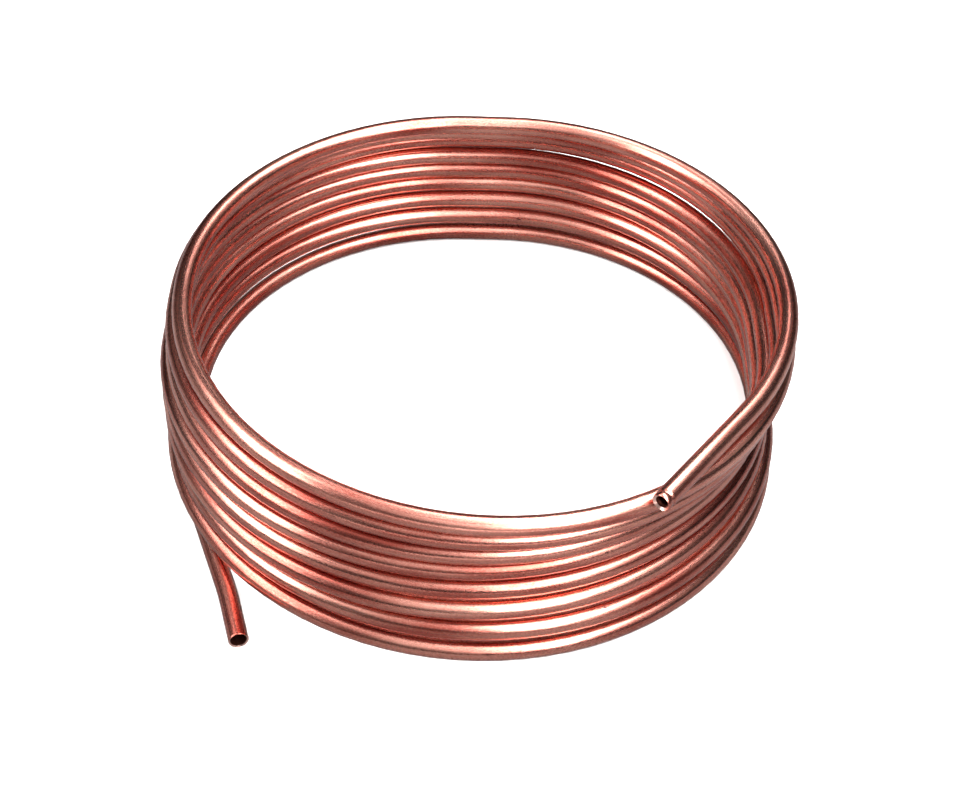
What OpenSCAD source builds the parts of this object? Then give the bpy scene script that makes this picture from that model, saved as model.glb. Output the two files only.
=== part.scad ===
// A coil of soft copper tube, wound as one length in a single layer and lying
// on its end. The coil's axis is Z and the floor is Z = 0.
//
// The winding is a chain of half turns, from the top of the coil to the floor.
// The tube runs along Y where it passes the coil's right (+X) and left (-X)
// sides. Each back half is two quarter rings with a short straight between them,
// each front half is half a ring, and both are tipped so that one end can be
// lower than the other. Every piece of the chain is drawn in the frame in which
// the piece before it ends, so the pieces meet exactly: the tube leaves the
// origin of that frame along +Y, and the coil's axis lies towards -X.

/* [Tube] */
// Outer diameter of the tube
tube_od = 12; // [8:0.5:15]
// Thickness of the tube's wall
tube_wall = 1; // [0.6:0.1:1.5]

/* [Coil] */
// Diameter of the coil, between the centre lines of a turn
coil_d = 365; // [280:1:450]
// Space left between two turns that lie against each other
turn_gap = 0.3; // [0.2:0.05:1]
// Straight length in the middle of the back of each turn
back_flat = 24; // [20:1:40]

/* [Ends] */
// How far the top end follows the coil's curve past its right side, in degrees
top_sweep = 36.8699; // [20.6097, 32.5204, 36.8699]
// Straight length at the top end
top_straight = 88; // [50:1:110]
// Straight length down the left side before the bottom end leaves the coil
bottom_run = 39; // [5:1:40]
// How far the bottom end follows the coil's curve past its left side, in degrees
bottom_sweep = 20.6097; // [16.2602, 20.6097, 32.5204]
// Straight length after that curve
bottom_straight = 74; // [50:1:90]
// Radius at which the bottom end bends back a little
bend_back_r = 200; // [100:5:300]
// Straight length at the mouth of the bottom end
bottom_tip = 29; // [25:1:50]

/* [Hidden] */
$fn = 48;
curve_fn = 180;

coil_r = coil_d / 2;
// Step from one turn to the next where the two lie against each other
pitch = tube_od + turn_gap;

// How far each turn, from the top down, lies outside the coil's circle at its
// right, back, left and front, in pitches
OUT = [
    [0.6, -0.8, -0.4, 0.3],
    [0.6, 0.5, 0.1, 0.1],
    [0.4, 1.4, 0.2, 0.0],
    [-0.1, 1.15, 0.6, 0.0],
    [-0.3, 1.3, 0.6, 0.2],
    [-0.2, 1.4, 0.5, 0.6],
    [-0.2, 1.15, 0.3, 0.9],
    [0.2, 0.95, 0.5, 1.2],
    [0.2, 1.0, 0.0],
];
// How far each turn lies above the lowest one at its right and left, in pitches
UP = [
    [8.7, 9.0], [7.4, 7.7], [6.4, 6.4], [5.5, 5.3],
    [4.5, 4.2], [3.4, 3.2], [2.4, 2.2], [1.3, 1.2], [0, 0],
];
last = len(OUT) - 1;

function right_x(i) = coil_r + OUT[i][0] * pitch;
function left_x(i) = -coil_r - OUT[i][2] * pitch;
function right_z(i) = tube_od / 2 + UP[i][0] * pitch;
function left_z(i) = tube_od / 2 + UP[i][1] * pitch;
// Straight distance between the two ends of a turn's back half and front half
function back_across(i) = norm([right_x(i) - left_x(i), right_z(i) - left_z(i)]);
function front_across(i) =
    norm([right_x(i + 1) - left_x(i), left_z(i) - right_z(i + 1)]);
// A rotation is written to a file with six places. An angle whose cosine has no
// more places than that keeps a turned piece at its size to the last digit, so
// that it still meets its neighbour. The angles at the two ends are such angles.
function in_six_places(angle) =
    sign(angle) * acos(round(cos(angle) * 1e6) / 1e6);
// How far the bottom end bends back
bend_back = in_six_places(4.3495);
// How far each half is tipped
function back_tip(i) =
    in_six_places(asin((right_z(i) - left_z(i)) / back_across(i)));
function front_tip(i) =
    in_six_places(asin((left_z(i) - right_z(i + 1)) / front_across(i)));
// How far the tube comes down from the start of turn i to the last turn
function fall(i) = i > last ? 0 :
    back_across(i) * sin(back_tip(i))
    + (i < last ? front_across(i) * sin(front_tip(i)) : 0) + fall(i + 1);
// Radius of each half's ring
function back_r(i) = (back_across(i) - back_flat) / 2;
function front_r(i) = front_across(i) / 2;
// Where each half starts and ends along Y
function back_y(i) = coil_r + OUT[i][1] * pitch - back_r(i);
function front_y(i) = front_r(i) - coil_r - OUT[i][3] * pitch;

// The tube's wall in section, at a distance r from the axis it is turned about
module wall_section(r) {
    translate([r, 0]) difference() {
        circle(d = tube_od);
        circle(d = tube_od - 2 * tube_wall);
    }
}

// Part of a ring, and the move from its start to its end
module arc(r, angle) {
    translate([-r, 0, 0])
        rotate_extrude(angle = angle, $fn = curve_fn) wall_section(r);
}
module past_arc(r, angle) {
    translate([-r, 0, 0]) rotate([0, 0, angle]) translate([r, 0, 0]) children();
}

// A straight length
module straight(length) {
    rotate([-90, 0, 0]) difference() {
        cylinder(d = tube_od, h = length);
        translate([0, 0, -1]) cylinder(d = tube_od - 2 * tube_wall, h = length + 2);
    }
}

// The back half of turn i and the run down the left side after it
module back_half(i) {
    rotate([0, -back_tip(i), 0]) {
        arc(back_r(i), 90);
        past_arc(back_r(i), 90) {
            straight(back_flat);
            translate([0, back_flat, 0]) arc(back_r(i), 90);
        }
    }
}
module past_back_half(i) {
    rotate([0, -back_tip(i), 0])
        past_arc(back_r(i), 90) translate([0, back_flat, 0])
            past_arc(back_r(i), 90) rotate([0, -back_tip(i), 0]) children();
}

// The run down the left side, the front half of turn i and the run up the right
// side to the next turn
module front_half(i) {
    straight(back_y(i) - front_y(i));
    translate([0, back_y(i) - front_y(i), 0]) rotate([0, -front_tip(i), 0]) {
        arc(front_r(i), 180);
        past_arc(front_r(i), 180) rotate([0, -front_tip(i), 0])
            straight(back_y(i + 1) - front_y(i));
    }
}
module past_front_half(i) {
    translate([0, back_y(i) - front_y(i), 0]) rotate([0, -front_tip(i), 0])
        past_arc(front_r(i), 180) rotate([0, -front_tip(i), 0])
            translate([0, back_y(i + 1) - front_y(i), 0]) children();
}

// Moves its children to the start of turn i
module to_turn(i) {
    if (i == 0) translate([right_x(0), back_y(0), tube_od / 2 + fall(0)]) children();
    else to_turn(i - 1) past_back_half(i - 1) past_front_half(i - 1) children();
}

// The curve at an end, drawn longer and cut where the straight after it begins
module end_arc(r, angle) {
    translate([-r, 0, 0]) difference() {
        rotate_extrude(angle = angle + 1, $fn = curve_fn) wall_section(r);
        rotate([0, 0, angle]) translate([r - tube_od, 0, -tube_od])
            cube([2 * tube_od, tube_od, 2 * tube_od]);
    }
}

// The top end follows the coil's curve and then runs straight to its mouth.
module top_end() {
    end_arc(back_r(0), top_sweep);
    past_arc(back_r(0), top_sweep) straight(top_straight);
}

// The bottom end does the same along the floor and bends back before its mouth.
module bottom_end() {
    straight(bottom_run);
    translate([0, bottom_run, 0]) {
        end_arc(back_r(last), bottom_sweep);
        past_arc(back_r(last), bottom_sweep) {
            straight(bottom_straight);
            translate([0, bottom_straight, 0]) mirror([1, 0, 0]) {
                end_arc(bend_back_r, bend_back);
                past_arc(bend_back_r, bend_back) straight(bottom_tip);
            }
        }
    }
}

module copper_tube() {
    color("#b87058") {
        to_turn(0) mirror([0, 1, 0]) top_end();
        for (i = [0 : last]) to_turn(i) back_half(i);
        for (i = [0 : last - 1]) to_turn(i) past_back_half(i) front_half(i);
        to_turn(last) past_back_half(last) bottom_end();
    }
}

copper_tube();
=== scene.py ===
# %% [markdown]
# # A coil of soft copper tube
#
# One length of 12 mm copper tube, wound in a single layer of nine turns and
# lying on its end. The coil was wound by hand, so its turns aren't perfect
# circles and don't lie exactly on each other. What makes it look real is the
# metal: bright drawn copper that mirrors the lamps as long streaks along every
# turn, with the fine lines that the drawing die left along the tube.
#
# First we load the measured model, which is the frame that every piece has to
# fit.

# %% Load the frame
import math
import bpy
from mathutils import Matrix, Vector


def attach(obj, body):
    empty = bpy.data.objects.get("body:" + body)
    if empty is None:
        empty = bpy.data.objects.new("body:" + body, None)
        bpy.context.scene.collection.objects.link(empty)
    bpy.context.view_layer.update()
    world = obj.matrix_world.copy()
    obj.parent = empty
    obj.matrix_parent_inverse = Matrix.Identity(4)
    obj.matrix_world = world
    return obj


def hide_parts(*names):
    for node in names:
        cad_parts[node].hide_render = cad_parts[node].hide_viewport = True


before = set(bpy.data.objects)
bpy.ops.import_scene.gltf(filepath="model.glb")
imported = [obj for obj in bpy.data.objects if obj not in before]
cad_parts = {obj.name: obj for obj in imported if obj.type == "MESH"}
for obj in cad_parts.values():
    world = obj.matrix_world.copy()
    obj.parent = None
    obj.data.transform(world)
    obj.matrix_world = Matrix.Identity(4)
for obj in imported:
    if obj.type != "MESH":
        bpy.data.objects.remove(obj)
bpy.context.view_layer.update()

# %% [markdown]
# The camera and the lamps come first. The camera stands in front of the coil and
# looks down at it steeply enough to see both the outside of the near wall and
# the inside of the far wall.

# %% Camera
CAMERA_DISTANCE = 1.167
CAMERA_HEIGHT_ANGLE = math.radians(44.0)
CAMERA_ROLL = math.radians(1.2)
LOOK_AT = Vector((0.0037, 0.0, 0.0166))
SENSOR_WIDTH = 36.0
LENS = 67.6


def add_camera():
    data = bpy.data.cameras.new("camera")
    data.sensor_width = SENSOR_WIDTH
    data.lens = LENS
    camera = bpy.data.objects.new("camera", data)
    bpy.context.collection.objects.link(camera)
    away = Vector((0, -math.cos(CAMERA_HEIGHT_ANGLE), math.sin(CAMERA_HEIGHT_ANGLE)))
    camera.location = LOOK_AT + away * CAMERA_DISTANCE
    aim = (-away).to_track_quat("-Z", "Y").to_matrix()
    camera.rotation_euler = (aim @ Matrix.Rotation(CAMERA_ROLL, 3, "Z")).to_euler()
    bpy.context.scene.camera = camera
    return camera


camera = add_camera()
print("camera at", [round(v, 3) for v in camera.location])

# %% [markdown]
# ## Light for bright metal
#
# Polished metal has hardly any colour of its own to show: it shows what it
# mirrors. A bare white room would make the tube look like pink plastic. So two
# long softboxes hang over the coil, one to the right and one to the left,
# sloping down towards the viewer. Between them the metal mirrors only a faint
# lamp, which gives bright, dark and bright stretches along every turn. A low
# card in front lights up the undersides there. The three weaker lamps are seen
# only in the metal and don't light the floor.

# %% Softboxes
def add_softbox(name, start, end, width, radiance, aim=(0, 0, 0.06)):
    """A strip lamp from start to end whose face is turned to a point."""
    start, end = Vector(start), Vector(end)
    centre = (start + end) / 2
    along = (end - start).normalized()
    to_aim = Vector(aim) - centre
    back = -(to_aim - to_aim.dot(along) * along).normalized()
    turn = Matrix((along.cross(back), along, back)).transposed().to_4x4()
    data = bpy.data.lights.new(name, "AREA")
    data.shape = "RECTANGLE"
    data.size, data.size_y = width, (end - start).length
    data.energy = radiance * math.pi * data.size * data.size_y
    lamp = bpy.data.objects.new(name, data)
    bpy.context.collection.objects.link(lamp)
    lamp.matrix_world = Matrix.Translation(centre) @ turn
    lamp.visible_camera = False
    print(name, "watts", round(data.energy, 1))
    return lamp


add_softbox("right_box", (0.19, 0.95, 1.27), (0.55, -1.41, 0.56), 0.5, 12.5)
add_softbox("left_box", (-0.65, 0.29, 1.43), (-1.34, -0.76, 0.45), 0.5, 10.5)
in_metal_only = [
    add_softbox("middle_lamp", (-0.2, 0.9, 1.6), (-0.2, -1.8, 1.0), 0.9, 0.9),
    add_softbox("back_lamp", (-0.9, 2.2, 0.7), (0.9, 2.2, 0.7), 0.7, 0.15),
    add_softbox("front_card", (-0.6, -1.15, 0.02), (0.6, -1.15, 0.02), 1.1, 2.4,
                aim=(0, -1.15, 1)),
]
for lamp in in_metal_only:
    lamp.visible_diffuse = False

# %% [markdown]
# The room is pale and lights the floor evenly, but the metal doesn't mirror it.
# A floor that is white to the eye would also wash out the red of every
# underside, as the metal mirrors it too. In a studio the coil would stand on a
# small bright sheet in a dark room. The floor's material does the same with the
# Light Path node: it is darker for a ray that comes off the metal. Colours are
# shown without a film curve, so that the floor becomes clean white and the dark
# copper stays deep red.

# %% Room and floor
FLOOR_SIZE = 12.0
FLOOR_SEEN = (0.9, 0.9, 0.9, 1)
FLOOR_MIRRORED = (0.13, 0.13, 0.13, 1)

room = bpy.data.worlds.new("room")
room.use_nodes = True
room_light = room.node_tree.nodes["Background"]
room_light.inputs["Strength"].default_value = 1.0
room_light.inputs["Color"].default_value = (1, 0.99, 0.98, 1)
room.cycles_visibility.glossy = False
bpy.context.scene.world = room
bpy.context.scene.view_settings.view_transform = "Standard"


def pale_floor():
    material = bpy.data.materials.new("pale_floor")
    material.use_nodes = True
    tree = material.node_tree
    shader = tree.nodes["Principled BSDF"]
    shader.inputs["Roughness"].default_value = 0.9
    shader.inputs["Specular IOR Level"].default_value = 0.0
    ray = tree.nodes.new("ShaderNodeLightPath")
    colour = tree.nodes.new("ShaderNodeMix")
    colour.data_type = "RGBA"
    colour.inputs["A"].default_value = FLOOR_SEEN
    colour.inputs["B"].default_value = FLOOR_MIRRORED
    tree.links.new(ray.outputs["Is Glossy Ray"], colour.inputs["Factor"])
    tree.links.new(colour.outputs["Result"], shader.inputs["Base Color"])
    return material


bpy.ops.object.select_all(action="DESELECT")
bpy.ops.mesh.primitive_plane_add(size=FLOOR_SIZE, location=(0, 0, 0))
floor = bpy.context.object
floor.name = "floor"
floor.data.materials.append(pale_floor())
print("floor", FLOOR_SIZE, "m across")

# %% [markdown]
# ## The route of the tube
#
# The tube is one piece, so it is modelled as one: a ring of 48 points is drawn
# out along the whole winding, as the real tube was drawn through a die and then
# bent. The winding is a chain of half turns. Each back half is two quarter
# bends with a short straight between them, each front half is one bend, and
# both are tipped so that the tube can come down to the floor turn by turn.
#
# The two lists hold what differs between the turns: how far each one bulges
# past a perfect circle, and how high it lies, both counted in steps from one
# turn to the next.

# %% The sizes of the coil
MM = 0.001
TUBE_RADIUS = 6.0 * MM
WALL = 1.0 * MM
STEP = 12.3 * MM
COIL_RADIUS = 182.5 * MM
BACK_STRAIGHT = 24.0 * MM
TOP_SWEEP, TOP_STRAIGHT = math.radians(36.8699), 88.0 * MM
BOTTOM_RUN = 39.0 * MM
BOTTOM_SWEEP, BOTTOM_STRAIGHT = math.radians(20.6097), 74.0 * MM
BEND_BACK, BEND_BACK_RADIUS = math.radians(4.3495), 200.0 * MM
BOTTOM_TIP = 29.0 * MM

# right, back, left and front of each turn, outside the perfect circle
OUT = [
    (0.6, -0.8, -0.4, 0.3), (0.6, 0.5, 0.1, 0.1), (0.4, 1.4, 0.2, 0.0),
    (-0.1, 1.15, 0.6, 0.0), (-0.3, 1.3, 0.6, 0.2), (-0.2, 1.4, 0.5, 0.6),
    (-0.2, 1.15, 0.3, 0.9), (0.2, 0.95, 0.5, 1.2), (0.2, 1.0, 0.0, 0.0),
]
# right and left of each turn, above the lowest turn
UP = [
    (8.7, 9.0), (7.4, 7.7), (6.4, 6.4), (5.5, 5.3), (4.5, 4.2),
    (3.4, 3.2), (2.4, 2.2), (1.3, 1.2), (0, 0),
]
TURNS = len(OUT)


def side_places():
    """Where each turn passes the right and the left side, as (x, z)."""
    right = [
        (COIL_RADIUS + out[0] * STEP, TUBE_RADIUS + up[0] * STEP)
        for out, up in zip(OUT, UP)
    ]
    left = [
        (-COIL_RADIUS - out[2] * STEP, TUBE_RADIUS + up[1] * STEP)
        for out, up in zip(OUT, UP)
    ]
    return right, left


def half(start, end, straight):
    """The radius of the bends of a half turn, and how far it is tipped."""
    across = math.dist(start, end)
    return (across - straight) / 2, math.asin((start[1] - end[1]) / across)


def route():
    """The winding from its right side at the top to its left side on the floor.

    Gives its start, the radius of its first and last bends, and a list of
    (kind, radius or length, angle).
    """
    right, left = side_places()
    backs = [half(right[i], left[i], BACK_STRAIGHT) for i in range(TURNS)]
    fronts = [half(left[i], right[i + 1], 0) for i in range(TURNS - 1)]
    back_y = [COIL_RADIUS + OUT[i][1] * STEP - backs[i][0] for i in range(TURNS)]
    front_y = [fronts[i][0] - COIL_RADIUS - OUT[i][3] * STEP for i in range(TURNS - 1)]
    steps = []
    for i in range(TURNS):
        radius, tip = backs[i]
        steps += [
            ("tip", 0, tip),
            ("bend", radius, math.pi / 2),
            ("straight", BACK_STRAIGHT, 0),
            ("bend", radius, math.pi / 2),
            ("tip", 0, tip),
        ]
        if i < TURNS - 1:
            radius, tip = fronts[i]
            steps += [
                ("straight", back_y[i] - front_y[i], 0),
                ("tip", 0, tip),
                ("bend", radius, math.pi),
                ("tip", 0, tip),
                ("straight", back_y[i + 1] - front_y[i], 0),
            ]
    start = Vector((right[0][0], back_y[0], right[0][1]))
    return start, backs[0][0], backs[-1][0], steps


coil_start, top_radius, bottom_radius, winding = route()
bent = sum(size * angle for kind, size, angle in winding if kind == "bend")
straight = sum(size for kind, size, angle in winding if kind == "straight")
print("winding", round(bent + straight, 3), "m in", len(winding), "steps")

# %% [markdown]
# ## Drawing the tube out
#
# We start with a circle at the mouth of the top end and draw it out: extrude
# for a straight, spin for a bend. Both work on the selected ring and leave the
# new end ring selected, so the steps simply follow each other. A frame goes
# with the ring: its Y axis points along the tube, and the coil's axis lies
# towards its -X.
#
# The ends come from a tube cutter. Its wheel rolls the edge inwards, so each
# end narrows over its last millimetres, and the top end also kept the groove of
# a first cut that was started and given up.

# %% Draw out the ring
SIDES = 48
DEGREES_PER_RING = 4.0
# distance from the mouth and radius there
TOP_PROFILE = [
    (0.0, 5.3), (0.5, 5.65), (1.5, 5.8), (3.2, 5.8), (3.9, 5.4), (4.5, 5.45),
    (5.4, 5.95), (6.4, 6.0),
]
BOTTOM_PROFILE = [(0.0, 5.75), (0.3, 5.93), (1.0, 6.0)]


class Chain:
    """The frame that travels with the end ring."""

    def __init__(self, place):
        self.at = place

    def axis(self, column):
        return self.at.to_3x3().col[column].normalized()

    def straight(self, length):
        bpy.ops.mesh.extrude_region_move(
            TRANSFORM_OT_translate={"value": self.axis(1) * length}
        )
        self.at = self.at @ Matrix.Translation((0, length, 0))

    def bend(self, radius, angle):
        """Bends towards the frame's -X, or towards +X if both are negative."""
        centre = self.at @ Vector((-radius, 0, 0))
        rings = max(2, round(abs(math.degrees(angle)) / DEGREES_PER_RING))
        bpy.ops.mesh.spin(
            steps=rings, angle=-angle, center=centre, axis=self.axis(2)
        )
        turn = Matrix.Rotation(angle, 4, "Z")
        self.at = (
            self.at @ Matrix.Translation((-radius, 0, 0)) @ turn
            @ Matrix.Translation((radius, 0, 0))
        )

    def resize(self, factor):
        bpy.ops.mesh.select_mode(type="VERT")
        bpy.ops.transform.resize(
            value=(factor,) * 3, center_override=self.at.translation
        )

    def follow(self, profile):
        """Draws an end, from its first distance and radius to its last."""
        for (here, radius), (there, next_radius) in zip(profile, profile[1:]):
            self.straight((there - here) * MM)
            self.resize(next_radius / radius)


def top_mouth_frame():
    """The frame at the mouth of the top end, looking back along the tube."""
    joint = Matrix.Translation(coil_start)
    centre = Matrix.Translation((-top_radius, 0, 0))
    return (
        joint @ centre @ Matrix.Rotation(-TOP_SWEEP, 4, "Z")
        @ Matrix.Translation((top_radius, 0, 0))
        @ Matrix.Translation((0, -TOP_STRAIGHT, 0))
    )


def draw_tube():
    chain = Chain(top_mouth_frame())
    bpy.ops.object.select_all(action="DESELECT")
    bpy.ops.mesh.primitive_circle_add(vertices=SIDES, radius=TOP_PROFILE[0][1] * MM)
    tube = bpy.context.object
    tube.name = "coiled_tube"
    tube.matrix_world = chain.at @ Matrix.Rotation(-math.pi / 2, 4, "X")
    bpy.ops.object.transform_apply(location=True, rotation=True, scale=True)
    bpy.ops.object.mode_set(mode="EDIT")
    bpy.ops.mesh.select_all(action="SELECT")
    chain.follow(TOP_PROFILE)
    chain.straight(TOP_STRAIGHT - TOP_PROFILE[-1][0] * MM)
    chain.bend(top_radius, TOP_SWEEP)
    for kind, size, angle in winding:
        if kind == "tip":
            chain.at = chain.at @ Matrix.Rotation(-angle, 4, "Y")
        elif kind == "bend":
            chain.bend(size, angle)
        else:
            chain.straight(size)
    chain.straight(BOTTOM_RUN)
    chain.bend(bottom_radius, BOTTOM_SWEEP)
    chain.straight(BOTTOM_STRAIGHT)
    chain.bend(-BEND_BACK_RADIUS, -BEND_BACK)
    last = BOTTOM_PROFILE[-1][0]
    chain.straight(BOTTOM_TIP - last * MM)
    chain.follow([(last - distance, radius) for distance, radius in BOTTOM_PROFILE[::-1]])
    bpy.ops.object.mode_set(mode="OBJECT")
    return tube, chain


tube, chain = draw_tube()
print("bottom mouth at", [round(v, 4) for v in chain.at.translation])

# %% [markdown]
# ## Where every point was on the straight tube
#
# The marks of the die run along the tube, so the metal's texture has to follow
# it round every turn. We give each point an attribute that says where it was
# before the tube was coiled: its place on the round section, and its distance
# from the top mouth. The rings are joined like a ladder, so we walk from ring to
# ring and add up the way. A texture that reads this attribute behaves as if the
# tube were still straight, and it has no seam.

# %% Unroll the tube
def unroll(tube):
    mesh = tube.data
    beside = [[] for _ in mesh.vertices]
    for edge in mesh.edges:
        a, b = edge.vertices
        beside[a].append(b)
        beside[b].append(a)
    uncoiled = mesh.attributes.new("uncoiled", "FLOAT_VECTOR", "POINT")
    ring, seen, along, rings = list(range(SIDES)), set(range(SIDES)), 0.0, 0
    while ring:
        middle = sum((mesh.vertices[v].co for v in ring), Vector()) / SIDES
        if rings:
            along += (middle - last_middle).length
        last_middle = middle
        for column, vertex in enumerate(ring):
            turn = 2 * math.pi * column / SIDES
            uncoiled.data[vertex].vector = (
                TUBE_RADIUS * math.cos(turn), TUBE_RADIUS * math.sin(turn), along
            )
        rings += 1
        after = [next((n for n in beside[v] if n not in seen), None) for v in ring]
        ring = [] if None in after else after
        seen.update(ring)
    return rings, along, len(seen)


rings, tube_length, reached = unroll(tube)
print(rings, "rings,", round(tube_length, 3), "m")
print(reached, "of", len(tube.data.vertices), "points reached")

# %% [markdown]
# ## The wall
#
# So far the tube is a skin without thickness. Solidify gives it the real wall of
# 1 mm, inwards, and closes it with a flat rim at each mouth. At the top mouth
# the cutter's wheel pressed the edge into the bore, so a vertex group makes the
# wall thicker there. The tube's three parts get their own finish: the outside,
# the rims and the bore.

# %% Give the tube its wall
def face_outwards(tube):
    """Turns the skin right side out, from the first face."""
    mesh = tube.data
    bpy.ops.object.select_all(action="DESELECT")
    tube.select_set(True)
    bpy.context.view_layer.objects.active = tube
    bpy.ops.object.mode_set(mode="EDIT")
    bpy.ops.mesh.select_all(action="SELECT")
    bpy.ops.mesh.normals_make_consistent(inside=False)
    bpy.ops.object.mode_set(mode="OBJECT")
    face = mesh.polygons[0]
    section = mesh.attributes["uncoiled"].data
    middle = sum((mesh.vertices[v].co for v in range(SIDES)), Vector()) / SIDES
    outward = (face.center - middle).dot(face.normal) > 0
    if not outward:
        mesh.flip_normals()
    return outward


RIM_WALL = 1.75 * MM
PRESSED_LENGTH = 1.6 * MM


def thicken_top_mouth(tube):
    """Weighs each point by the share of RIM_WALL that its wall gets."""
    group = tube.vertex_groups.new(name="wall_share")
    share = WALL / RIM_WALL
    for index, place in enumerate(tube.data.attributes["uncoiled"].data):
        pressed = max(0.0, 1 - place.vector.z / PRESSED_LENGTH)
        group.add([index], share + (1 - share) * pressed, "REPLACE")
    return group


def add_wall(tube):
    group = thicken_top_mouth(tube)
    wall = tube.modifiers.new("wall", "SOLIDIFY")
    wall.thickness = RIM_WALL
    wall.vertex_group = group.name
    wall.offset = -1
    wall.use_even_offset = False
    wall.material_offset = 2
    wall.material_offset_rim = 1
    bpy.ops.object.modifier_apply(modifier=wall.name)
    tube.vertex_groups.clear()
    bpy.ops.object.shade_smooth_by_angle(angle=math.radians(50))


print("skin was right side out:", face_outwards(tube))
for name in ("drawn_copper", "cut_copper", "bore_copper"):
    tube.data.materials.append(bpy.data.materials.new(name))
add_wall(tube)
print(len(tube.data.polygons), "faces")
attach(tube, "root")
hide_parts("copper_tube")

# %% [markdown]
# ## Copper
#
# Copper needs a metallic shader, because its colour is the colour of its
# reflections. Two groups of nodes hold what the three finishes share. The first
# makes the lines that the die left: noise on the uncoiled tube, squeezed across
# it and stretched along it. The second makes the tarnish: broad soft clouds
# that darken and redden the metal, and small dark specks.

# %% Node groups for the marks of the die and the tarnish
def new_group(name, inputs, outputs):
    group = bpy.data.node_groups.new(name, "ShaderNodeTree")
    for label, default in inputs:
        socket = group.interface.new_socket(
            label, in_out="INPUT", socket_type="NodeSocketFloat"
        )
        socket.default_value = default
    for label in outputs:
        group.interface.new_socket(
            label, in_out="OUTPUT", socket_type="NodeSocketFloat"
        )
    start = group.nodes.new("NodeGroupInput")
    end = group.nodes.new("NodeGroupOutput")
    return group, start, end


def stretched_noise(group, place, scale, size, detail=2.0):
    """Noise on the uncoiled tube, with its place scaled by three factors."""
    squeeze = group.nodes.new("ShaderNodeVectorMath")
    squeeze.operation = "MULTIPLY"
    squeeze.inputs[1].default_value = scale
    group.links.new(place, squeeze.inputs[0])
    noise = group.nodes.new("ShaderNodeTexNoise")
    noise.inputs["Scale"].default_value = size
    noise.inputs["Detail"].default_value = detail
    group.links.new(squeeze.outputs[0], noise.inputs["Vector"])
    return noise.outputs["Fac"]


def remap(group, value, low, high, to_low=0.0, to_high=1.0):
    """Stretches low..high of a value to to_low..to_high, and clamps it."""
    spread = group.nodes.new("ShaderNodeMapRange")
    spread.inputs["From Min"].default_value = low
    spread.inputs["From Max"].default_value = high
    spread.inputs["To Min"].default_value = to_low
    spread.inputs["To Max"].default_value = to_high
    group.links.new(value, spread.inputs["Value"])
    return spread.outputs["Result"]


def combine(group, operation, first, second):
    node = group.nodes.new("ShaderNodeMath")
    node.operation = operation
    for socket, value in zip(node.inputs, (first, second)):
        if isinstance(value, (int, float)):
            socket.default_value = value
        else:
            group.links.new(value, socket)
    return node.outputs[0]


def uncoiled_place(group):
    node = group.nodes.new("ShaderNodeAttribute")
    node.attribute_name = "uncoiled"
    return node.outputs["Vector"]


def make_die_marks():
    group, start, end = new_group("die_marks", [("Strength", 1.0)], ["Height", "Shine"])
    place = uncoiled_place(group)
    fine = stretched_noise(group, place, (1, 1, 0.012), 2600)
    broad = stretched_noise(group, place, (1, 1, 0.01), 700)
    grain = stretched_noise(group, place, (1, 1, 0.35), 2400, 3.0)
    lines = combine(group, "ADD", combine(group, "MULTIPLY", fine, 0.6), broad)
    rough = combine(group, "ADD", lines, combine(group, "MULTIPLY", grain, 0.7))
    height = combine(group, "MULTIPLY", rough, start.outputs["Strength"])
    group.links.new(height, end.inputs["Height"])
    group.links.new(remap(group, rough, 0.8, 1.5), end.inputs["Shine"])
    return group


def make_tarnish():
    group, start, end = new_group(
        "tarnish", [("Amount", 1.0)], ["Clouds", "Specks"]
    )
    place = uncoiled_place(group)
    clouds = stretched_noise(group, place, (1, 1, 0.12), 90, 4.0)
    grain = stretched_noise(group, place, (1, 1, 0.5), 1500, 2.0)
    mixed = combine(group, "ADD", clouds, combine(group, "MULTIPLY", grain, 0.35))
    amount = combine(
        group, "MULTIPLY", remap(group, mixed, 0.5, 0.85), start.outputs["Amount"]
    )
    group.links.new(amount, end.inputs["Clouds"])
    specks = stretched_noise(group, place, (1, 1, 0.25), 420, 2.0)
    group.links.new(remap(group, specks, 0.72, 0.80), end.inputs["Specks"])
    return group


die_marks = make_die_marks()
tarnish = make_tarnish()
print("node groups", die_marks.name, tarnish.name)

# %% [markdown]
# The finishes differ only in their values. The outside is deep red copper under
# a thin film of drawing oil, a clear coat that adds a white gleam to the
# brightest streaks. The rims were cut last and are the brightest. The bore is
# dull, brown and much darker than the outside.

# %% Three finishes of copper
SPECK_COLOUR = (0.09, 0.03, 0.02, 1)
OIL_ROUGHNESS = 0.3
MARK_STRENGTH = 0.35
MARK_DEPTH = 0.06 * MM


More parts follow.
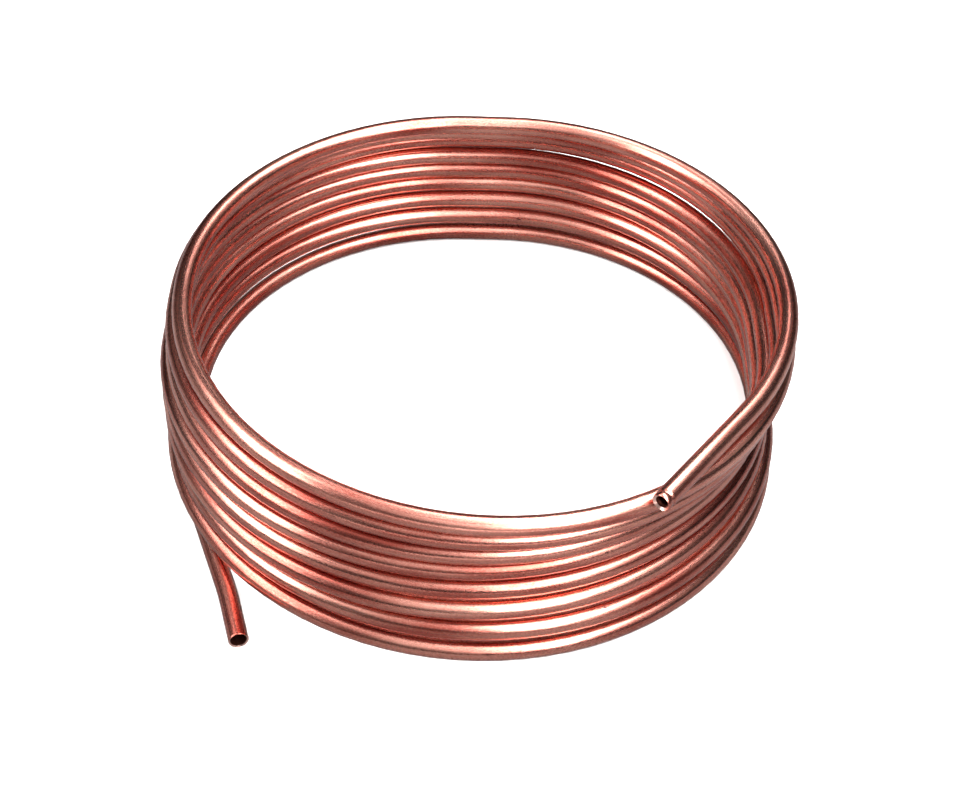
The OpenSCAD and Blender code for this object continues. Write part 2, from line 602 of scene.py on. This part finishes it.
def copper_finish(name, bright, tarnished, roughness, marks, clouds, oil):
    material = bpy.data.materials[name]
    material.use_nodes = True
    tree = material.node_tree
    shader = tree.nodes["Principled BSDF"]
    shader.inputs["Metallic"].default_value = 1.0
    shader.inputs["Coat Weight"].default_value = oil
    shader.inputs["Coat Roughness"].default_value = OIL_ROUGHNESS
    die = tree.nodes.new("ShaderNodeGroup")
    die.node_tree = die_marks
    die.inputs["Strength"].default_value = marks
    dull = tree.nodes.new("ShaderNodeGroup")
    dull.node_tree = tarnish
    dull.inputs["Amount"].default_value = clouds
    colour = tree.nodes.new("ShaderNodeMix")
    colour.data_type = "RGBA"
    colour.inputs["A"].default_value = (*bright, 1)
    colour.inputs["B"].default_value = (*tarnished, 1)
    tree.links.new(dull.outputs["Clouds"], colour.inputs["Factor"])
    speck = tree.nodes.new("ShaderNodeMix")
    speck.data_type = "RGBA"
    speck.inputs["B"].default_value = SPECK_COLOUR
    tree.links.new(dull.outputs["Specks"], speck.inputs["Factor"])
    tree.links.new(colour.outputs["Result"], speck.inputs["A"])
    tree.links.new(speck.outputs["Result"], shader.inputs["Base Color"])
    low, high = roughness
    shine = remap(tree, die.outputs["Shine"], 0, 1, low, high)
    tree.links.new(shine, shader.inputs["Roughness"])
    bump = tree.nodes.new("ShaderNodeBump")
    bump.inputs["Strength"].default_value = MARK_STRENGTH
    bump.inputs["Distance"].default_value = MARK_DEPTH
    tree.links.new(die.outputs["Height"], bump.inputs["Height"])
    tree.links.new(bump.outputs["Normal"], shader.inputs["Normal"])
    return material


copper_finish(
    "drawn_copper", bright=(0.83, 0.36, 0.275), tarnished=(0.40, 0.065, 0.04),
    roughness=(0.20, 0.35), marks=1.0, clouds=1.0, oil=0.7,
)
copper_finish(
    "cut_copper", bright=(0.90, 0.55, 0.47), tarnished=(0.78, 0.42, 0.34),
    roughness=(0.24, 0.40), marks=0.6, clouds=0.4, oil=0.6,
)
copper_finish(
    "bore_copper", bright=(0.30, 0.10, 0.07), tarnished=(0.14, 0.04, 0.03),
    roughness=(0.35, 0.5), marks=1.0, clouds=1.0, oil=0.0,
)
print("finishes", [m.name for m in tube.data.materials])
